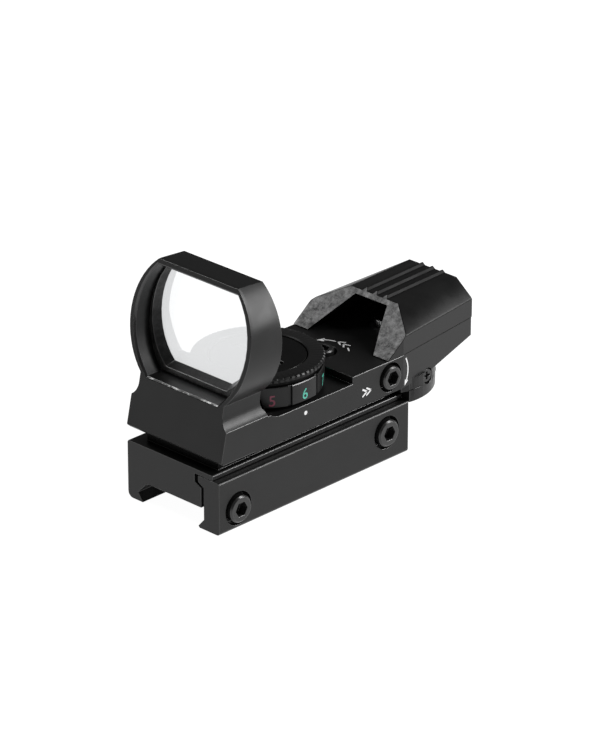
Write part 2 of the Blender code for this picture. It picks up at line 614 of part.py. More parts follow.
def coin_slot(name):
    half, reach = 0.8, 7.2
    ends = arc((reach, 0.0), half, -90, 90, 6)
    outline = ends + [(-x, -y) for x, y in ends]
    outline = [(x, y + DIAL_Y) for x, y in outline]
    return prism(name, outline, "Z", 25.6, 30.0)


def hood_section(y):
    """Outline of the hood across X and Z at a place along Y, with the ribs on its flat top."""
    edge = HOOD_EDGE_Z + HOOD_EDGE_SLOPE * (y - HOOD_EDGE_Y)
    top = HOOD_TOP_Z + HOOD_TOP_SLOPE * (y - HOOD_TOP_Y)
    wide = half_width(y)
    lean = REAR_LEAN if y == BODY_REAR else 0.0
    left = [(-wide, HIGH_DECK + SEAM), (-wide, edge - 0.3), (0.3 - wide, edge + 0.1), (-HOOD_TOP_HALF, top)]
    ribs = []
    for place in RIB_PLACES:
        ribs += [(place - RIB_HALF, top), (place - 0.15, top + RIB_HEIGHT)]
        ribs += [(place + 0.15, top + RIB_HEIGHT), (place + RIB_HALF, top)]
    outline = left + ribs + [(-x, z) for x, z in reversed(left)]
    return [(x, y - lean * max(0.0, z - edge), z) for x, z in outline]


def mouth_section(y):
    top = HOOD_TOP_Z + HOOD_TOP_SLOPE * (y - HOOD_TOP_Y) - 0.9
    wide = MOUTH_FLOOR_HALF + (MOUTH_FLOOR_HALF - MOUTH_TOP_HALF) * 0.28
    return [(-wide, y, 18.0), (-MOUTH_TOP_HALF, y, top), (MOUTH_TOP_HALF, y, top), (wide, y, 18.0)]


def hood(looks):
    shell = skin("hood", [hood_section(y) for y in (18.0, TAPER_START, BODY_REAR)], looks["body"])
    slant = [(5.0, 15.0), (hood_cut(15.0), 15.0), (hood_cut(36.0), 36.0), (5.0, 36.0)]
    cut(shell, prism("hood_slant", slant, "X", -20.0, 20.0))
    cut(shell, skin("hood_mouth", [mouth_section(y) for y in (16.0, MOUTH_REAR)]))
    for sign, side in ((-1, "left"), (1, "right")):
        place = (sign * HOOD_SCREW_X, HOOD_SCREW_Y)
        cut(shell, drum(f"hood_thread_{side}", 1.1, place, "Z", 20.0, 25.2, count=20))
        recess = cross(0.9, 0.25)
        profile = [(0.9, 24.8), (0.9, 18.0), (1.7, 18.0), (1.7, 17.2), (1.5, 17.0)]
        profile += [(recess, 17.0), (recess, 17.6)]
        turned(f"hood_screw_{side}", profile, place, "Z", 24, looks["screw"])
    return shell


def hood_cut(z):
    return HOOD_CUT_Y + HOOD_CUT_SLOPE * (z - HOOD_CUT_Z)


def emitter(looks):
    """The lamp behind the drum's mask. It shines forwards along -Y, at the lens."""
    front, rear, beam = SELECTOR_Y + 1.1, 48.4, 21.5
    outline = [(front, 20.6), (rear, 20.6), (rear, 22.6), (front + 0.4, 22.6), (front, 22.2)]
    block = prism("emitter_block", outline, "X", -1.9, 1.9, looks["plastic"])
    cut(block, drum("led_bore", 0.75, (0.0, beam), "Y", SELECTOR_Y - 1.0, front + 2.2, count=20))
    drum("led", 0.5, (0.0, beam), "Y", front - 0.8, front + 1.9, looks["led"], 20, 0.12)
    path = [(-8.0, 3.0, 15.2), (-8.0, 3.0, 13.4), (-8.0, 3.5, 12.9), (-8.0, 28.3, 12.9), (-8.0, 28.8, 13.4)]
    path += [(-8.0, 28.8, 16.2), (-8.0, 29.3, 16.7), (-8.0, 46.5, 16.7), (-7.5, 47.0, 16.7)]
    path += [(-0.5, 47.0, 16.7), (0.0, 47.0, 17.2), (0.0, 47.0, 20.3)]
    sweep("emitter_cable", path, 0.4, looks["wire"], sides=6)


def adjusters(looks):
    head, shaft = (ADJUSTER_HEAD, ADJUSTER_HEAD_LENGTH), ADJUSTER_SHAFT
    socket = (hexagon(1.6), 2.2)
    right = BODY_HALF_WIDTH + ADJUSTER_RISE
    place = (WINDAGE_Y, WINDAGE_Z)
    socket_screw("windage_screw", "X", place, right, head, (shaft, 21.0), socket, looks["screw"])
    top = HIGH_DECK + ADJUSTER_RISE
    place = (0.0, ELEVATION_Y)
    socket_screw("elevation_screw", "Z", place, top, head, (shaft, 14.0), socket, looks["screw"])
    coil("elevation_spring", (0, ELEVATION_Y), 2.9, 11.4, 14.3, 3, 0.3, looks["steel"])


def selector(looks):
    centre = (0, SELECTOR_Y)
    bush = tube("drum_bush", BUSH_INNER, BUSH_OUTER, centre, "Z", 9.2, 18.0, looks["brass"], 40)
    cut(bush, lever_slot("bush_slot", 8.0))
    body = drum("reticle_drum", DRUM_RADIUS, centre, "Z", 10.4, 20.0, looks["plastic"], 40, 0.2)
    cut(body, drum("drum_socket", 1.15, (0.0, LEVER_Z), "Y", SELECTOR_Y + 0.6, 50.0, count=20))
    on_axis(body, 0, SELECTOR_Y, 0)
    outer = arc(centre, 2.95, -150, -30, 12)
    inner = arc(centre, 2.6, -30, -150, 12)
    mask = prism("reticle_mask", outer + inner, "Z", 20.3, 21.9, looks["screw"])
    on_axis(mask, 0, SELECTOR_Y, 0)
    rod = [(0.9, 40.0), (0.9, 50.4), (1.5, 50.7), (1.9, 51.3), (1.9, 53.0), (1.5, 53.6)]
    lever = turned("selector_lever", rod, (0.0, LEVER_Z), "Y", 24, looks["screw"])
    on_axis(lever, 0, SELECTOR_Y, 0)
    cover = [(6.2, 7.6), (6.2, 8.7), (3.6, 8.7), (3.6, 10.1)]
    plate = turned("selector_cover", cover, centre, "Z", 40, looks["body"])
    cut(plate, drum("cover_detent_bore", 0.85, (2.2, SELECTOR_Y), "Z", 8.2, 12.0, count=16))
    ball("selector_detent_ball", (2.2, SELECTOR_Y, 9.75), 0.55, looks["steel"])
    coil("selector_detent_spring", (2.2, SELECTOR_Y), 0.45, 8.35, 9.1, 2, 0.1, looks["steel"])
    for sign, side in ((1, "right"), (-1, "left")):
        recess = cross(1.0, 0.28)
        profile = [(0.8, 6.0 * sign), (0.8, 12.9 * sign), (1.6, 12.9 * sign), (1.6, 13.9 * sign)]
        profile += [(recess, 13.9 * sign), (recess, 13.3 * sign)]
        place = (BOSS_SCREW_Y, BOSS_SCREW_Z)
        turned(f"boss_screw_{side}", profile, place, "X", 24, looks["screw"])


def main():
    clear_scene()
    looks = materials()
    rail_base(looks)
    clamp_plate(looks)
    clamp_screws(looks)
    base_internals(looks)
    sight_body(looks)
    lens(looks)
    brightness_dial(looks)
    battery_parts(looks)
    hood(looks)
    emitter(looks)
    adjusters(looks)
    selector(looks)


main()
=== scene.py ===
import json
import math

import bmesh
import bpy
from mathutils import Matrix, Vector

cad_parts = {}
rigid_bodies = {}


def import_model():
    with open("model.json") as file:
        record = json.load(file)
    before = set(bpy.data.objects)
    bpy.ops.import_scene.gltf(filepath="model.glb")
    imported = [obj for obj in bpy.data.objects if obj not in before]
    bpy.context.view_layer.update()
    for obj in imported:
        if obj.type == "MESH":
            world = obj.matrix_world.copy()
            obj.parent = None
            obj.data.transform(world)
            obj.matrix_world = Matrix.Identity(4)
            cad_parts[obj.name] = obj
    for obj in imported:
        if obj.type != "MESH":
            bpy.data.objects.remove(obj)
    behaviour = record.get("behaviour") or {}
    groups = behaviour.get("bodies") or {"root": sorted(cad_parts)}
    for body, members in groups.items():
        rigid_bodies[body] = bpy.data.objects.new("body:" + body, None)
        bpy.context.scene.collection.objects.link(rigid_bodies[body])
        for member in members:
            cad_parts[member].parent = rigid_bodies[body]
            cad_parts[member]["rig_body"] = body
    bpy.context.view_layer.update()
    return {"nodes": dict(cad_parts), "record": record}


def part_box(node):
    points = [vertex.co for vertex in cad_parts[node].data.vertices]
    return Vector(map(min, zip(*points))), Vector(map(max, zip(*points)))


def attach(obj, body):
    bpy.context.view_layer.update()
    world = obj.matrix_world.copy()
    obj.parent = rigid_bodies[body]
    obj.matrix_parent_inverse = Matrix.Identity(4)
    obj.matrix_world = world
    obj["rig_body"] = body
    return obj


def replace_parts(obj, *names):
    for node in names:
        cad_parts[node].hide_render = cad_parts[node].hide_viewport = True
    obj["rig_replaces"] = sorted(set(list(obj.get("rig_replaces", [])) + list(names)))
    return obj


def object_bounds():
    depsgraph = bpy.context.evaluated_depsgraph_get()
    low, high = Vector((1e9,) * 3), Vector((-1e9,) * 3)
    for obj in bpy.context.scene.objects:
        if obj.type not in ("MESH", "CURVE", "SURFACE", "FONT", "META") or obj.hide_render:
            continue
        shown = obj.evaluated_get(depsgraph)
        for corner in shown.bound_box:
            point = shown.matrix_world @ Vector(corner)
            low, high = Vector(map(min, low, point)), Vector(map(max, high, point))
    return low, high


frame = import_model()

# The looks of the red dot sight. Lengths are in millimetres in the frame's own axes unless a comment
# says metres, and MM turns them into metres. -Y is the lens end, +X the side with the screws, +Z up.
MM = 0.001
RECORD = frame["record"]
SLOT_OF = {row["node"]: row["material_slot"] for row in RECORD["subparts"]}


def middle(node):
    low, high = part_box(node)
    return (low + high) / (2 * MM)


# Places that the marks and the dial are set out from, all read from the frame.
DIAL_LOW, DIAL_HIGH = (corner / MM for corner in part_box("brightness_dial"))
DIAL_Y = (DIAL_LOW.y + DIAL_HIGH.y) / 2
DIAL_TOP = DIAL_HIGH.z
WINDAGE = middle("windage_screw")
ELEVATION = middle("elevation_screw")
BODY_REAR = (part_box("sight_body")[1] / MM).y
FLOOR_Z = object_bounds()[0].z / MM

# Shape of the sight body, the hood and the base, as far as the marks and the choice of looks need it.
BODY_HALF_WIDTH, REAR_HALF_WIDTH, TAPER_START = 15.27, 11.8, 28.5
DECK_Z = 20.3
# Where the sloping front plane lies along Y at z = 0, and how far it leans back for each mm up.
FRONT_AT_ZERO, FRONT_SLOPE = -33.1, 0.2058
WINDOW_BOTTOM, WINDOW_TOP, WINDOW_HALF, WINDOW_SILL = 24.0, 51.2, 18.3, 25.3
CHAMFER_DEPTH, CHAMFER_NORMAL = (0.05, 0.38), (-0.92, -0.3)
HOOD_CUT = Vector((0.0, -1.0, 1.35)).normalized()  # the way that the hood's slanted cut faces
RIB_FOOT_Z = 28.5
SEAM_LOW, SEAM_HIGH, SEAM_FRONT = 20.0, 20.6, 24.0
BOSS_LEDGE_LOW, BOSS_LEDGE_HIGH, BOSS_FRONT = 12.3, 13.7, 29.5
PLATEAU_FOOT_Z = 9.3

# The dial: radii, heights, panels and knurling.
DIAL_PANELS = 11
DIAL_BORE, GROOVE_RADIUS, DIAL_NECK = 11.5, 12.4, 14.3
GROOVE_LOW, GROOVE_HIGH = 20.7, 21.9
PANEL_APOTHEM, PANEL_HALF, JOINT_RADIUS = 15.1, 4.0, 14.85
PANEL_FLATNESS = 0.4
PANEL_LOW, PANEL_HIGH, KNURL_LOW = 19.45, 24.4, 25.55
KNURL_TEETH, KNURL_DEPTH = 66, 0.32
POINTS_PER_TOOTH = 8

# Marks: how far a print stands off its surface, the numerals, and the index dot.
INK = 0.025
NUMERAL_Z, NUMERAL_SIZE, NUMERAL_SPACING, NUMERAL_SWELL = 21.15, 3.7, 0.85, 0.02
NUMERAL_COLOURS = ["white"] + ["red"] * 5 + ["green"] * 5
SIDE_NUMBER = 6  # the number whose panel faces +X
INDEX_Z, INDEX_RADIUS = 16.55, 0.5

# Rounding of edges.
WELD = 1e-6  # metres
FLAT_ANGLE = math.radians(0.5)
CORNER_ANGLE = math.radians(28.0)  # corners sharper than this are rounded
SMOOTH_ANGLE = math.radians(30)
SQUARE_ANGLE = math.radians(60.0)
HAIR = 0.03
SAME_SLOT = -1  # an edge takes the look of the faces beside it

# Finishes: how many noise cells there are to a metre.
MOTTLE_SCALE, GRAIN_SCALE, HAZE_SCALE, FLOOR_SCALE = 180.0, 4000.0, 60.0, 6.0

# Studio: strengths, the floor's half width, and lights as place, width, height, in metres, and power.
WORLD_STRENGTH, FLOOR_GLOW, FLOOR_HALF = 0.09, 0.97, 1.3
LIGHT_AIM = (0.0, 0.01, 0.02)
LIGHTS = {
    "key": ((-0.60, -0.20, 0.72), 0.3, 0.3, 2.0),
    "rim": ((0.72, 0.84, 0.60), 0.35, 1.05, 18.0),
}

# Camera: the way from the object to it in degrees, its distance, the point it aims at, lens and shift.
VIEW_AZIMUTH, VIEW_ELEVATION, VIEW_DISTANCE = 44.402, 24.378, 1034.55
VIEW_POINT = Vector((0.0, 8.471, 22.36))
LENS_LENGTH, SENSOR_HEIGHT = 216.5, 36.0
LENS_SHIFT = (0.00631, -0.02812)
FAR_CLIP = 20.0  # metres


# ---------------------------------------------------------------- materials


def new_material(name):
    made = bpy.data.materials.new(name)
    made.use_nodes = True
    return made, made.node_tree, made.node_tree.nodes["Principled BSDF"]


def node(tree, kind, **inputs):
    """A node with its inputs set by name."""
    made = tree.nodes.new(kind)
    for name, value in inputs.items():
        made.inputs[name].default_value = value
    return made


def noise(tree, scale, detail=3.0, roughness=0.5):
    """Noise in the object's own metres, so it stays put as the piece moves."""
    coordinates = tree.nodes.new("ShaderNodeTexCoord")
    made = node(tree, "ShaderNodeTexNoise", Scale=scale, Detail=detail, Roughness=roughness)
    tree.links.new(coordinates.outputs["Object"], made.inputs["Vector"])
    return made.outputs["Fac"]


def ramp(tree, source, low, high, start=0.3, end=0.7):
    """Colours or greys from low to high as the source goes from start to end."""
    made = tree.nodes.new("ShaderNodeValToRGB")
    made.color_ramp.elements[0].position = start
    made.color_ramp.elements[1].position = end
    for element, value in zip(made.color_ramp.elements, (low, high)):
        shade = value if isinstance(value, tuple) else (value, value, value)
        element.color = (*shade, 1.0)
    tree.links.new(source, made.inputs["Fac"])
    return made.outputs["Color"]


def bump(tree, shader, height, strength, distance):
    made = node(tree, "ShaderNodeBump", Strength=strength, Distance=distance * MM)
    tree.links.new(height, made.inputs["Height"])
    tree.links.new(made.outputs["Normal"], shader.inputs["Normal"])


def finish(name, dark, light, rough, grain, grain_strength, metallic=0.0, specular=0.5):
    """An even finish: broad noise varies its colour and roughness a little, and fine noise is its grain."""
    made, tree, shader = new_material(name)
    broad = noise(tree, MOTTLE_SCALE, 4.0)
    fine = noise(tree, GRAIN_SCALE, 2.0)
    tree.links.new(ramp(tree, broad, dark, light), shader.inputs["Base Color"])
    tree.links.new(ramp(tree, broad, rough[0], rough[1], 0.35, 0.65), shader.inputs["Roughness"])
    bump(tree, shader, fine, grain_strength, grain)
    shader.inputs["Metallic"].default_value = metallic
    shader.inputs["Specular IOR Level"].default_value = specular
    return made


def mottled(name, dark, light, rough, metallic, scale, span, relief):
    """Metal with coarse speckle: its noise runs from broad patches down to single grains."""
    made, tree, shader = new_material(name)
    speckle = noise(tree, scale, 7.0, 0.8)
    tree.links.new(ramp(tree, speckle, dark, light, *span), shader.inputs["Base Color"])
    tree.links.new(ramp(tree, speckle, rough + 0.08, rough - 0.04), shader.inputs["Roughness"])
    bump(tree, shader, speckle, 0.8, relief)
    shader.inputs["Metallic"].default_value = metallic
    return made


def materials():
    looks = {}
    looks["anodised"] = finish(
        "satin_black_anodised", 0.0075, 0.0100, (0.30, 0.38), 0.02, 0.18, specular=0.26
    )
    # edge is a lighter copy of the anodising for the rounded edges: a painted highlight along them.
    looks["edge"] = finish("anodised_edge_painted_highlight", 0.016, 0.045, (0.24, 0.36), 0.02, 0.2, 0.35, 0.9)
    # deck is a darker copy of the anodising: painted shade, on the hood's rib sides, the battery cap and
    # under the dial's rim.
    looks["deck"] = finish("anodised_painted_shade_dim", 0.0028, 0.0040, (0.42, 0.5), 0.02, 0.2, specular=0.12)
    looks["shade"] = finish("anodised_in_shade", 0.0020, 0.0030, (0.5, 0.6), 0.02, 0.2, specular=0.08)
    looks["blasted"] = mottled("blasted_cut_face", 0.03, 0.30, 0.48, 0.35, 480.0, (0.36, 0.64), 0.09)
    looks["nicked"] = mottled("bare_nicked_edge", 0.03, 0.34, 0.3, 0.9, 460.0, (0.49, 0.66), 0.05)
    looks["bezel"] = mottled("turned_black_bezel", 0.008, 0.035, 0.3, 0.2, 500.0, (0.42, 0.62), 0.05)
    # lip is a lighter copy of the bezel for the retainer's rounded edges: a painted highlight along them.
    looks["lip"] = finish("bezel_lip_painted_highlight", 0.05, 0.16, (0.2, 0.3), 0.02, 0.2, 0.35, 0.9)
    looks["screw"] = finish("black_oxide_screw", 0.014, 0.022, (0.26, 0.36), 0.02, 0.15, 0.3, 0.7)
    looks["steel"] = finish("bright_steel", 0.42, 0.55, (0.2, 0.32), 0.01, 0.15, 1.0)
    brass = ((0.55, 0.38, 0.16), (0.68, 0.49, 0.22))
    looks["brass"] = finish("turned_brass", *brass, (0.24, 0.36), 0.01, 0.15, 1.0)
    looks["rubber"] = finish("black_rubber", 0.010, 0.015, (0.7, 0.82), 0.03, 0.3)
    looks["plastic"] = finish("moulded_black_plastic", 0.012, 0.018, (0.44, 0.56), 0.04, 0.25)
    board = ((0.012, 0.11, 0.05), (0.02, 0.16, 0.07))
    looks["board"] = finish("circuit_board", *board, (0.35, 0.5), 0.02, 0.2)
    wire = ((0.38, 0.02, 0.015), (0.5, 0.035, 0.025))
    looks["wire"] = finish("red_wire", *wire, (0.4, 0.5), 0.02, 0.2)
    lamp = ((0.6, 0.02, 0.015), (0.75, 0.04, 0.03))
    looks["led"] = finish("red_led", *lamp, (0.12, 0.2), 0.01, 0.05)
    looks["white"] = finish("white_marking", 0.68, 0.82, (0.5, 0.6), 0.01, 0.1)
    red = ((0.17, 0.028, 0.055), (0.24, 0.045, 0.08))
    looks["red"] = finish("red_marking", *red, (0.5, 0.6), 0.01, 0.1)
    green = ((0.05, 0.34, 0.25), (0.09, 0.46, 0.35))
    looks["green"] = finish("green_marking", *green, (0.5, 0.6), 0.01, 0.1)
    looks["glass"] = coated_glass()
    return looks


def coated_glass():
    """Glass that glows softly as a painted reflection, in place of the room's light that it would throw
    back.
    """
    made, tree, shader = new_material("lens_glass_painted_reflection")
    haze = noise(tree, HAZE_SCALE, 2.0)
    tree.links.new(ramp(tree, haze, (0.30, 0.31, 0.31), (0.34, 0.34, 0.34)), shader.inputs["Base Color"])
    tree.links.new(ramp(tree, haze, 0.02, 0.035), shader.inputs["Roughness"])
    shader.inputs["Emission Color"].default_value = (0.98, 0.99, 1.0, 1.0)
    shader.inputs["Emission Strength"].default_value = 0.80
    shader.inputs["Alpha"].default_value = 0.5
    return made


# ---------------------------------------------------------------- pieces from the frame's own solids


def welded(cad_node, join_flats):
    """The node's mesh as one welded surface, with flat areas joined up into single faces if asked."""
    made = bmesh.new()
    made.from_mesh(frame["nodes"][cad_node].data)
    bmesh.ops.remove_doubles(made, verts=made.verts, dist=WELD)
    if join_flats:
        bmesh.ops.dissolve_limit(
            made,
            angle_limit=FLAT_ANGLE,
            use_dissolve_boundaries=False,
            verts=made.verts,
            edges=made.edges,
        )
    return made


def place(made, name, slots, body, slot):
    """A new piece from a bmesh, riding on a body."""
    mesh = bpy.data.meshes.new(name)
    made.to_mesh(mesh)
    made.free()
    for material in slots:
        mesh.materials.append(material)
    piece = bpy.data.objects.new(name, mesh)
    bpy.context.scene.collection.objects.link(piece)
    mesh.shade_smooth()
    mesh.set_sharp_from_angle(angle=SMOOTH_ANGLE)
    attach(piece, body)
    return piece


def weigh_edges(made, keep_sharp):
    """Marks the edges to round: every clear corner, less those that keep_sharp picks by their middle."""
    weight = made.edges.layers.float.new("bevel_weight_edge")
    for edge in made.edges:
        if len(edge.link_faces) != 2 or edge.calc_face_angle() < CORNER_ANGLE:
            continue
        halfway = (edge.verts[0].co + edge.verts[1].co) / (2 * MM)
        edge[weight] = 0.0 if keep_sharp and keep_sharp(halfway) else 1.0


def bevel(piece, name, width, segments, edge_slot):
    step = piece.modifiers.new(name, "BEVEL")
    step.width = width * MM
    step.segments = segments
    step.use_clamp_overlap = False
    step.harden_normals = True
    step.material = edge_slot
    return step


def round_edges(piece, width, edge_slot):
    """Rounds the weighted edges, then takes a hair off the square corners that are left."""
    bevel(piece, "edges", width, 2, edge_slot).limit_method = "WEIGHT"
    corners = bevel(piece, "corners", HAIR, 1, SAME_SLOT)
    corners.limit_method = "ANGLE"
    corners.angle_limit = SQUARE_ANGLE


def flatten_shading(piece):
    """Weights each normal by face area, so a large flat face shades as flat up to its rounded edges."""
    step = piece.modifiers.new("shading", "WEIGHTED_NORMAL")
    step.mode = "FACE_AREA"
    step.weight = 100
    step.keep_sharp = True


def dressed(cad_node, look, width, choose=None, others=(), keep_sharp=None):
    """A finished copy of a node: welded, its edges rounded by width, in the given looks.

    choose picks each face's look by number, and the last of others also goes on the rounded edges.
    """
    made = welded(cad_node, width > 0)
    made.normal_update()
    weigh_edges(made, keep_sharp)
    for face in made.faces:
        face.material_index = choose(face) if choose else 0
    body = frame["nodes"][cad_node]["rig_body"]
    piece = place(made, f"{cad_node}_finished", [look, *others], body, SLOT_OF[cad_node])
    if width:
        round_edges(piece, width, len(others) if others else SAME_SLOT)
        flatten_shading(piece)
    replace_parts(piece, cad_node)


# ---------------------------------------------------------------- new pieces


def arc(centre, radius, start, end, count):
    """Points on an arc in a plane, both ends included. Angles are in degrees from the first axis."""
    points = []
    for i in range(count + 1):
        angle = math.radians(start + (end - start) * i / count)
        points.append((centre[0] + radius * math.cos(angle), centre[1] + radius * math.sin(angle)))
    return points


def spun(name, profile, centre, count, slots, body, slot):
    """A closed ring about a vertical axis. Each profile row is (radius or function, height, look)."""
    made = bmesh.new()
    rows = []
    for radius, height, _ in profile:
        row = []
        for i in range(count):
            angle = 2 * math.pi * i / count
            reach = radius(angle) if callable(radius) else radius
            point = (centre[0] + reach * math.cos(angle), centre[1] + reach * math.sin(angle), height)
            row.append(made.verts.new(Vector(point) * MM))
        rows.append(row)
    for k, row in enumerate(rows):
        following = rows[(k + 1) % len(rows)]
        for i in range(count):
            j = (i + 1) % count
            face = made.faces.new((row[i], row[j], following[j], following[i]))
            face.material_index = profile[k][2]
    made.normal_update()
    bmesh.ops.recalc_face_normals(made, faces=made.faces)
    return place(made, name, slots, body, slot)


def panel_radius(angle):
    """Nearly flat number panels round the dial, with a narrow sunk joint between each two."""
    pitch = 2 * math.pi / DIAL_PANELS
    away = (angle + pitch / 2) % pitch - pitch / 2
    if abs(PANEL_APOTHEM * math.tan(away)) > PANEL_HALF:
        return JOINT_RADIUS
    return PANEL_APOTHEM * (1.0 - PANEL_FLATNESS + PANEL_FLATNESS / math.cos(away))


def knurl_radius(outer):
    """A rim with shallow upright grooves."""

    def radius(angle):
        phase = angle * KNURL_TEETH / (2 * math.pi) % 1.0
        return outer - KNURL_DEPTH * max(0.0, math.cos(2 * math.pi * phase)) ** 2

    return radius


def brightness_dial(looks):
    """The dial anew, with fine knurling and sunk joints between panels, on the same bore and heights."""
    rim = DIAL_HIGH.x
    profile = [
        (DIAL_BORE, DIAL_LOW.z, 0),
        (DIAL_NECK - 0.2, DIAL_LOW.z, 0),
        (DIAL_NECK, DIAL_LOW.z + 0.2, 0),
        (DIAL_NECK, PANEL_LOW, 0),
        (lambda angle: panel_radius(angle) - 0.18, PANEL_LOW, 0),
        (panel_radius, PANEL_LOW + 0.18, 0),
        (panel_radius, PANEL_HIGH - 0.15, 1),
        (lambda angle: panel_radius(angle) - 0.15, PANEL_HIGH, 2),
        (DIAL_NECK, PANEL_HIGH, 2),
        (DIAL_NECK, KNURL_LOW, 2),
        (rim - 0.25, KNURL_LOW, 0),
        (knurl_radius(rim), KNURL_LOW + 0.2, 0),
        (knurl_radius(rim), DIAL_TOP - 0.42, 0),
        (knurl_radius(rim - 0.3), DIAL_TOP - 0.1, 0),
        (rim - 0.75, DIAL_TOP, 0),
        (DIAL_BORE + 0.25, DIAL_TOP, 0),
        (DIAL_BORE, DIAL_TOP - 0.25, 0),
        (DIAL_BORE, GROOVE_HIGH, 0),
        (GROOVE_RADIUS, GROOVE_HIGH, 0),
        (GROOVE_RADIUS, GROOVE_LOW, 0),
        (DIAL_BORE, GROOVE_LOW, 0),
    ]
    # On the dial, edge on the panels' top chamfer is a painted highlight, and deck on the ledge and neck
    # under the knurled rim is painted shade.
    slots = [looks["anodised"], looks["edge"], looks["deck"]]
    count = KNURL_TEETH * POINTS_PER_TOOTH
    dial = spun("brightness_dial_finished", profile, (0, DIAL_Y), count, slots, "dial", "black_anodised")
    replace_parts(dial, "brightness_dial")


def printed(name, outlines, surface, slots, body, slot):
    """Closed 2-D outlines, as quads or other convex faces, laid on a surface as a thin raised film."""
    made = bmesh.new()
    for outline in outlines:
        top = [made.verts.new(Vector(surface(u, v, INK)) * MM) for u, v in outline]
        foot = [made.verts.new(Vector(surface(u, v, -INK)) * MM) for u, v in outline]
        made.faces.new(top)
        made.faces.new(foot[::-1])
        for i, _ in enumerate(top):
            j = (i + 1) % len(top)
            made.faces.new((top[i], foot[i], foot[j], top[j]))
    bmesh.ops.recalc_face_normals(made, faces=made.faces)
    return place(made, name, slots, body, slot)


def band(points, width):
    """Quads along a line of points, width across, as outlines for printed()."""
    sides = []
    for i, point in enumerate(points):
        before, after = points[max(i - 1, 0)], points[min(i + 1, len(points) - 1)]
        along = Vector((after[0] - before[0], after[1] - before[1])).normalized()
        across = Vector((-along.y, along.x)) * width / 2
        here = Vector(point)
        sides.append((here + across, here - across))
    return [(a[0], b[0], b[1], a[1]) for a, b in zip(sides, sides[1:])]


def at_angle(centre, radius, angle):
    return arc(centre, radius, angle, angle, 1)[0]


def curved_arrow(centre, radius, start, end, width, head):
    """An arc with an arrowhead at its end, in degrees about a centre. head is the arrowhead's length."""
    turn = math.copysign(1.0, end - start)
    neck = end - turn * math.degrees(head / radius)
    overlap, half_head = 3.0, head * 0.45
    shapes = band(arc(centre, radius, start, neck + turn * overlap, 20), width)
    outer = at_angle(centre, radius + half_head, neck)
    inner = at_angle(centre, radius - half_head, neck)
    shapes.append((outer, at_angle(centre, radius, end), inner))
    return shapes


def chevron(centre, direction, size, width):
    """A bent stroke pointing along a direction in degrees."""
    ahead = Vector((math.cos(math.radians(direction)), math.sin(math.radians(direction))))
    aside = Vector((-ahead.y, ahead.x))
    tip = Vector(centre) + ahead * size / 2
    ends = [Vector(centre) - ahead * size / 2 + aside * side * size * 0.62 for side in (1, -1)]
    return band([ends[0], tip], width) + band([tip, ends[1]], width)


def body_side(y):
    """How far the sight body's right side stands from the middle. It narrows towards the rear."""
    share = max(0.0, y - TAPER_START) / (BODY_REAR - TAPER_START)
    return BODY_HALF_WIDTH - share * (BODY_HALF_WIDTH - REAR_HALF_WIDTH)


def on_side(y, z, lift):
    return (body_side(y) + lift, y, z)


def on_deck(x, y, lift):
    return (x, y, DECK_Z + lift)


def dot(centre, radius, count=20):
    return [arc(centre, radius, 0, 360 - 360 / count, count - 1)]


def marks(looks):
    """The white marks: a dot below the dial, and an arrow and a double chevron beside each adjuster."""
    white = [looks["white"]]
    ink = "white_ink"
    printed("index_dot", dot((DIAL_Y, INDEX_Z), INDEX_RADIUS), on_side, white, "sight", ink)
    centre = (WINDAGE.y, WINDAGE.z)
    arrow = curved_arrow(centre, radius=6.1, start=31, end=-38, width=0.38, head=1.5)
    printed("windage_arrow", arrow, on_side, white, "sight", ink)
    windage = []
    for y in (15.6, 16.9):
        windage += chevron((y, 15.2), direction=0, size=1.5, width=0.42)
    printed("windage_sign", windage, on_side, white, "sight", ink)
    centre = (0.0, ELEVATION.y)
    arrow = curved_arrow(centre, radius=6.25, start=103, end=146, width=0.36, head=1.9)
    tail = band(arc(centre, radius=6.25, start=43, end=60, count=6), width=0.36)
    printed("elevation_arrow", arrow + tail, on_deck, white, "sight", ink)
    signs = []
    for angle in (74, 90):
        signs += chevron(at_angle(centre, 6.3, angle), direction=angle + 90, size=1.5, width=0.4)
    printed("elevation_sign", signs, on_deck, white, "sight", ink)


def numeral(value, colour, looks):
    """One upright number on its panel of the dial."""
    text = bpy.data.curves.new(f"dial_numeral_{value}", "FONT")
    text.body = str(value)
    text.align_x, text.align_y = "CENTER", "CENTER"
    text.size = NUMERAL_SIZE * MM
    text.space_character = NUMERAL_SPACING
    text.extrude = INK * MM
    text.offset = NUMERAL_SWELL * MM
    text.resolution_u = 6
    text.materials.append(looks[colour])
    piece = bpy.data.objects.new(f"dial_numeral_{value}", text)
    bpy.context.scene.collection.objects.link(piece)
    angle = (value - SIDE_NUMBER) * 2 * math.pi / DIAL_PANELS
    out = Vector((math.cos(angle), math.sin(angle), 0.0))
    along = Vector((-math.sin(angle), math.cos(angle), 0.0))
    seat = Vector((0.0, DIAL_Y, NUMERAL_Z)) + out * PANEL_APOTHEM
    turn = Matrix((along, Vector((0, 0, 1)), out)).transposed().to_4x4()
    turn.translation = seat * MM
    piece.matrix_world = turn
    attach(piece, "dial")


# ---------------------------------------------------------------- the object


def hood_face(face):
    """The slanted cut at the hood's mouth takes look 1, and the sides of the ribs take look 2, darker as
    painted shade that dims their reflection.
    """
    if face.normal.dot(HOOD_CUT) > 0.995:
        return 1
    on_rib = face.calc_center_median().z > RIB_FOOT_Z * MM and abs(face.normal.x) > 0.5
    return 2 if on_rib else 0


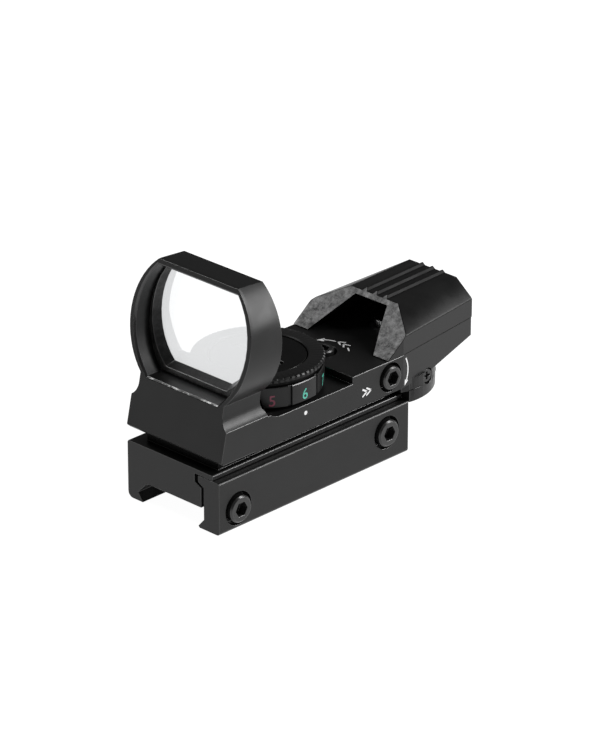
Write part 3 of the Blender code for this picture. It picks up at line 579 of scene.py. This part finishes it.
def body_face(face):
    """The chamfer round the window's front edge takes look 1 along its sill and look 2, a painted
    highlight, elsewhere.
    """
    centre = face.calc_center_median() / MM
    depth = centre.y - FRONT_AT_ZERO - FRONT_SLOPE * centre.z
    around_window = WINDOW_BOTTOM < centre.z < WINDOW_TOP and abs(centre.x) < WINDOW_HALF
    at_chamfer = CHAMFER_DEPTH[0] < depth < CHAMFER_DEPTH[1]
    slanted = CHAMFER_NORMAL[0] < face.normal.y < CHAMFER_NORMAL[1]
    if not (around_window and at_chamfer and slanted):
        return 0
    return 1 if centre.z < WINDOW_SILL else 2


def seam_edge(point):
    """Where the hood meets the body, and the narrow ledge and slot round the boss."""
    under_hood = SEAM_LOW < point.z < SEAM_HIGH and point.y > SEAM_FRONT
    round_boss = BOSS_LEDGE_LOW < point.z < BOSS_LEDGE_HIGH and point.y > BOSS_FRONT
    return under_hood or round_boss


def plateau_edge(point):
    return point.z > PLATEAU_FOOT_Z


def base_face(face):
    """The plateau under the sight lies in its shadow and takes look 1."""
    return 1 if face.calc_center_median().z > PLATEAU_FOOT_Z * MM else 0


def finish_nodes(looks):
    """A finished piece for every node but the dial. Those not named here take the look of their slot."""
    # edge, on the rounded edges and the window's chamfer, is a painted highlight.
    edge = looks["edge"]
    black = looks["anodised"]
    body_looks = [looks["nicked"], edge]
    dressed("sight_body", black, 0.11, choose=body_face, others=body_looks, keep_sharp=seam_edge)
    hood_looks = [looks["blasted"], looks["deck"]]
    dressed("hood", black, 0.11, choose=hood_face, others=hood_looks, keep_sharp=seam_edge)
    base_looks = [looks["shade"], edge]
    dressed("rail_base", black, 0.1, choose=base_face, others=base_looks, keep_sharp=plateau_edge)
    dressed("clamp_plate", black, 0.1, others=[edge])
    # The battery cap takes the darker deck look: painted shade.
    dressed("battery_cap", looks["deck"], 0.1, others=[edge])
    dressed("pivot_block", black, 0.08)
    dressed("selector_cover", black, 0.06)
    for name in ("clamp_screw_front", "clamp_screw_rear", "windage_screw", "elevation_screw"):
        dressed(name, looks["screw"], 0.14, others=[edge])
    small_screws = [f"{place}_screw_{side}" for place in ("boss", "hood") for side in ("left", "right")]
    for name in (*small_screws, "selector_lever"):
        dressed(name, looks["screw"], 0.05)
    dressed("lens", looks["glass"], 0.06)
    dressed("lens_retainer", looks["bezel"], 0.1, others=[looks["lip"]])
    dressed("reticle_mask", looks["steel"], 0.0)
    by_slot = {
        "bright_steel": "steel",
        "brass": "brass",
        "black_rubber": "rubber",
        "black_plastic": "plastic",
        "circuit_board": "board",
        "red_led": "led",
        "red_wire": "wire",
        "black_screw": "screw",
    }
    done = {name for piece in bpy.data.objects for name in piece.get("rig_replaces", [])}
    for name in sorted(set(SLOT_OF) - done - {"brightness_dial"}):
        dressed(name, looks[by_slot[SLOT_OF[name]]], 0.0)


# ---------------------------------------------------------------- stage


def stage():
    """A pale floor that glows evenly, in an even room."""
    made, tree, shader = new_material("studio_floor")
    tree.links.new(ramp(tree, noise(tree, FLOOR_SCALE), 0.19, 0.22), shader.inputs["Base Color"])
    shader.inputs["Roughness"].default_value = 0.9
    shader.inputs["Specular IOR Level"].default_value = 0.0
    shader.inputs["Emission Color"].default_value = (1.0, 1.0, 1.0, 1.0)
    shader.inputs["Emission Strength"].default_value = FLOOR_GLOW
    mesh = bpy.data.meshes.new("studio_floor")
    half = FLOOR_HALF
    corners = [(-half, -half), (half, -half), (half, half), (-half, half)]
    mesh.from_pydata([(x, y, FLOOR_Z * MM) for x, y in corners], [], [(0, 1, 2, 3)])
    mesh.materials.append(made)
    floor = bpy.data.objects.new("studio_floor", mesh)
    bpy.context.scene.collection.objects.link(floor)
    world = bpy.data.worlds.new("studio")
    world.use_nodes = True
    background = world.node_tree.nodes["Background"]
    background.inputs["Color"].default_value = (1.0, 1.0, 1.0, 1.0)
    background.inputs["Strength"].default_value = WORLD_STRENGTH
    bpy.context.scene.world = world


def light(name, place_m, width, height, power):
    lamp = bpy.data.lights.new(name, "AREA")
    lamp.shape = "RECTANGLE"
    lamp.size, lamp.size_y = width, height
    lamp.energy = power
    made = bpy.data.objects.new(name, lamp)
    bpy.context.scene.collection.objects.link(made)
    made.location = place_m
    made.rotation_euler = (Vector(LIGHT_AIM) - Vector(place_m)).to_track_quat("-Z", "Y").to_euler()


def camera():
    """The camera, aimed by angle and distance at a point inside the object."""
    azimuth, elevation = math.radians(VIEW_AZIMUTH), math.radians(VIEW_ELEVATION)
    back = Vector(
        (
            math.sin(azimuth) * math.cos(elevation),
            -math.cos(azimuth) * math.cos(elevation),
            math.sin(elevation),
        )
    )
    right = Vector((math.cos(azimuth), math.sin(azimuth), 0.0))
    upward = back.cross(right)
    lens = bpy.data.cameras.new("photo_camera")
    lens.sensor_fit = "VERTICAL"
    lens.sensor_height = SENSOR_HEIGHT
    lens.lens = LENS_LENGTH
    lens.shift_x, lens.shift_y = LENS_SHIFT
    lens.clip_end = FAR_CLIP
    view = bpy.data.objects.new("photo_camera", lens)
    bpy.context.scene.collection.objects.link(view)
    turn = Matrix((right, upward, back)).transposed().to_4x4()
    turn.translation = (VIEW_POINT + back * VIEW_DISTANCE) * MM
    view.matrix_world = turn
    bpy.context.scene.camera = view


looks = materials()
camera()
finish_nodes(looks)
brightness_dial(looks)
marks(looks)
for value, colour in enumerate(NUMERAL_COLOURS):
    numeral(value, colour, looks)
stage()
for name, setting in LIGHTS.items():
    light(name, *setting)
bpy.context.scene.view_settings.view_transform = "Standard"
